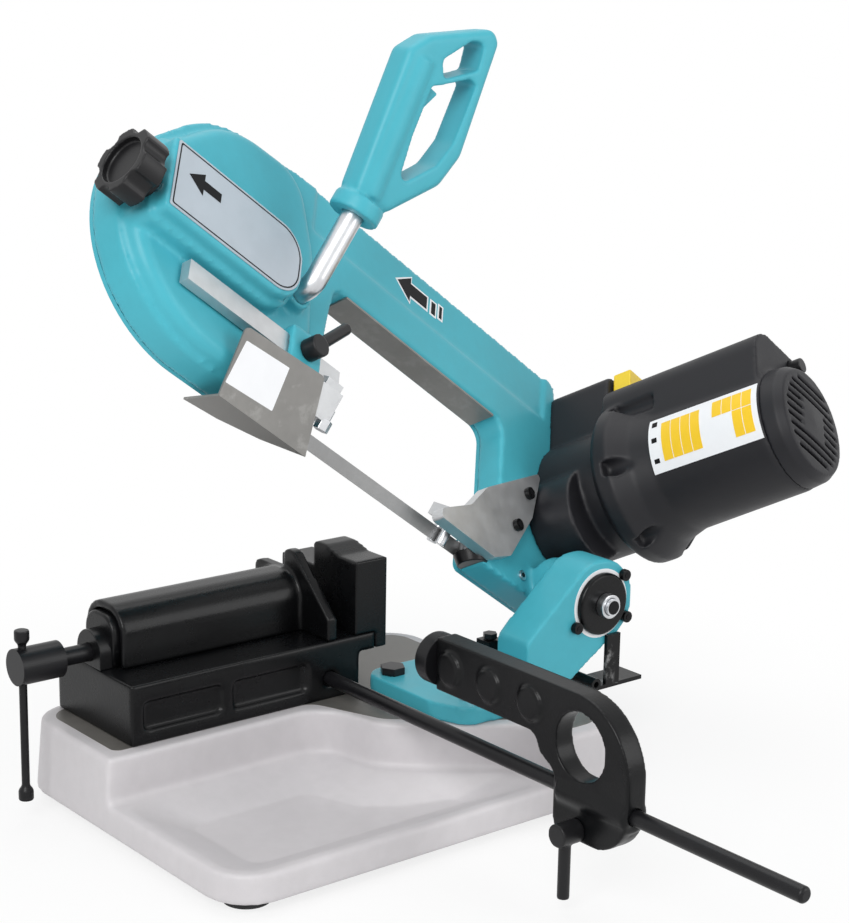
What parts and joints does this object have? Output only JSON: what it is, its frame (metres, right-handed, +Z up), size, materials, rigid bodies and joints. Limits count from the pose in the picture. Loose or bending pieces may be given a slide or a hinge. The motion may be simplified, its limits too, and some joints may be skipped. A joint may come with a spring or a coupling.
{
  "type": "portable band saw",
  "caption": "Bench-top band saw with a tilted hinged bow, side-mounted motor, D-handle, mitring turntable, hooded vice and bar stop on a cast base.",
  "frame": {"origin": "centre of the four feet on the bench", "axes": "+Z up, +X from the vice spindle to the hinge, +Y away from the operator; the stop rod runs to -Y"},
  "size_m": [0.7588, 0.697, 0.6653],
  "materials": {
    "base_paint": "satin",
    "black_casting": "satin",
    "turquoise_paint": "gloss",
    "charcoal_plastic": "matte",
    "black_plastic": "matte",
    "steel": "brushed",
    "cast_silver": "satin",
    "grey_sheet": "satin",
    "rubber": "matte",
    "bronze": "satin",
    "yellow_plastic": "gloss",
    "turquoise_plastic": "gloss",
    "machined_iron": "machined",
    "black_steel": "satin"
  },
  "bodies": {
    "base": {"base_casting": "base_paint", "rubber_feet": "rubber", "vice_base": "black_casting", "fixed_jaw": "black_casting", "jaw_screws": "steel", "spindle_nut": "black_casting", "pivot_bolt": "black_steel", "mitre_scale": "cast_silver"},
    "vice_jaw": {"moving_jaw": "black_casting"},
    "spindle": {"vice_spindle": "black_steel"},
    "t_bar": {"tommy_bar": "black_steel"},
    "rod": {"stop_rod": "black_steel"},
    "bar_stop": {"stop_arm": "black_casting", "stop_pad": "black_steel"},
    "stop_clamp": {"stop_lever": "black_plastic"},
    "swivel": {"turntable": "turquoise_paint", "lock_bolt": "steel", "down_stop_block": "black_casting", "down_stop_bolt": "black_steel", "hinge_shaft": "steel", "hinge_cap": "black_casting", "hinge_nut": "steel", "hinge_screws": "black_casting", "hinge_bracket": "black_casting", "return_spring": "steel"},
    "bow": {"bow_frame": "turquoise_paint", "wheel_cover": "turquoise_paint", "cover_screws": "steel", "hinge_bushes": "bronze", "beam_strip": "grey_sheet", "drive_bearings": "steel", "gearbox_housing": "charcoal_plastic", "motor_cover": "charcoal_plastic", "motor_end_cap": "charcoal_plastic", "motor_stator": "machined_iron", "fixed_guide": "cast_silver", "fixed_guide_screws": "black_casting", "fixed_guide_pins": "steel", "handle_tube": "steel", "handle_grip": "turquoise_plastic", "tension_plate": "cast_silver", "saw_blade": "steel", "cable_gland": "black_plastic"},
    "drive": {"drive_wheel": "machined_iron", "drive_shaft": "steel", "driven_gear": "steel"},
    "rotor": {"motor_rotor": "machined_iron", "cooling_fan": "black_plastic"},
    "tension_carriage": {"tension_slide": "machined_iron"},
    "idler": {"idler_wheel": "machined_iron", "idler_bearing": "steel"},
    "tensioner": {"tension_screw": "steel", "tension_knob": "black_plastic"},
    "slide_guide": {"guide_arm": "cast_silver", "blade_guard": "grey_sheet", "arm_guide_pins": "steel"},
    "guide_clamp": {"guide_lever": "black_plastic"},
    "trigger": {"trigger": "turquoise_plastic"},
    "switch": {"main_switch": "yellow_plastic"},
    "dial": {"speed_dial": "black_plastic"}
  },
  "joints": [
    {"name": "vice_travel", "type": "slide", "parent": "base", "child": "vice_jaw", "axis": [1, 0, 0], "range_m": [-0.1, 0.02]},
    {"name": "spindle_turn", "type": "hinge", "parent": "vice_jaw", "child": "spindle", "pos_m": [-0.22, 0.105, 0.14], "axis": [1, 0, 0], "range_deg": [-9000, 1800]},
    {"name": "t_bar_slide", "type": "slide", "parent": "spindle", "child": "t_bar", "axis": [0, 0, 1], "range_m": [0, 0.085]},
    {"name": "stop_swing", "type": "hinge", "parent": "base", "child": "rod", "pos_m": [0.029, 0, 0.0935], "axis": [0, 1, 0], "range_deg": [-95, 0]},
    {"name": "stop_travel", "type": "slide", "parent": "rod", "child": "bar_stop", "axis": [0, 1, 0], "range_m": [-0.16, 0.06]},
    {"name": "stop_clamp_turn", "type": "hinge", "parent": "bar_stop", "child": "stop_clamp", "pos_m": [0.01, -0.304, 0.068], "axis": [1, 0, 0], "range_deg": [-45, 45]},
    {"name": "mitre_turn", "type": "hinge", "parent": "base", "child": "swivel", "pos_m": [0.09, 0.021, 0.08], "axis": [0, 0, 1], "range_deg": [0, 45]},
    {"name": "bow_swing", "type": "hinge", "parent": "swivel", "child": "bow", "pos_m": [0.269, -0.02, 0.145], "axis": [0, 1, 0], "range_deg": [-34.2, 0], "stiffness_Nm_per_rad": 20, "springref_deg": 42.97},
    {"name": "wheel_turn", "type": "hinge", "parent": "bow", "child": "drive", "pos_m": [0.30445, 0.06539, 0.1765], "axis": [0.3217, -0.8387, 0.4395], "continuous": true},
    {"name": "rotor_turn", "type": "hinge", "parent": "bow", "child": "rotor", "pos_m": [0.34717, 0.08663, 0.18577], "axis": [0.3217, -0.8387, 0.4395], "continuous": true},
    {"name": "tension_travel", "type": "slide", "parent": "bow", "child": "tension_carriage", "axis": [-0.807, 0, 0.5906], "range_m": [-0.006, 0]},
    {"name": "idler_turn", "type": "hinge", "parent": "tension_carriage", "child": "idler", "pos_m": [-0.06998, 0.06539, 0.45054], "axis": [0.3217, -0.8387, 0.4395], "continuous": true},
    {"name": "tension_turn", "type": "hinge", "parent": "bow", "child": "tensioner", "pos_m": [-0.17172, 0.02346, 0.55874], "axis": [-0.807, 0, 0.5906], "range_deg": [-1440, 0]},
    {"name": "guide_travel", "type": "slide", "parent": "bow", "child": "slide_guide", "axis": [-0.807, 0, 0.5906], "range_m": [-0.11, 0]},
    {"name": "guide_clamp_turn", "type": "hinge", "parent": "bow", "child": "guide_clamp", "pos_m": [-0.0233, -0.01191, 0.40765], "axis": [0.3217, -0.8387, 0.4395], "range_deg": [-50, 0]},
    {"name": "trigger_press", "type": "slide", "parent": "bow", "child": "trigger", "axis": [-0.807, 0, 0.5906], "range_m": [0, 0.005], "stiffness_N_per_m": 600, "springref_m": -0.004},
    {"name": "switch_press", "type": "slide", "parent": "bow", "child": "switch", "axis": [0.4953, 0.5446, 0.6768], "range_m": [-0.003, 0], "stiffness_N_per_m": 600, "springref_m": 0.003},
    {"name": "dial_turn", "type": "hinge", "parent": "bow", "child": "dial", "pos_m": [0.48494, -0.09624, 0.3503], "axis": [0.3217, -0.8387, 0.4395], "range_deg": [0, 270]}
  ],
  "couplings": [
    {"joint": "spindle_turn", "follows": "vice_travel", "rad_per_m": 1570.8},
    {"joint": "rotor_turn", "follows": "wheel_turn", "ratio": -3},
    {"joint": "idler_turn", "follows": "wheel_turn", "ratio": 1},
    {"joint": "tension_turn", "follows": "tension_travel", "rad_per_m": 4188.8}
  ]
}
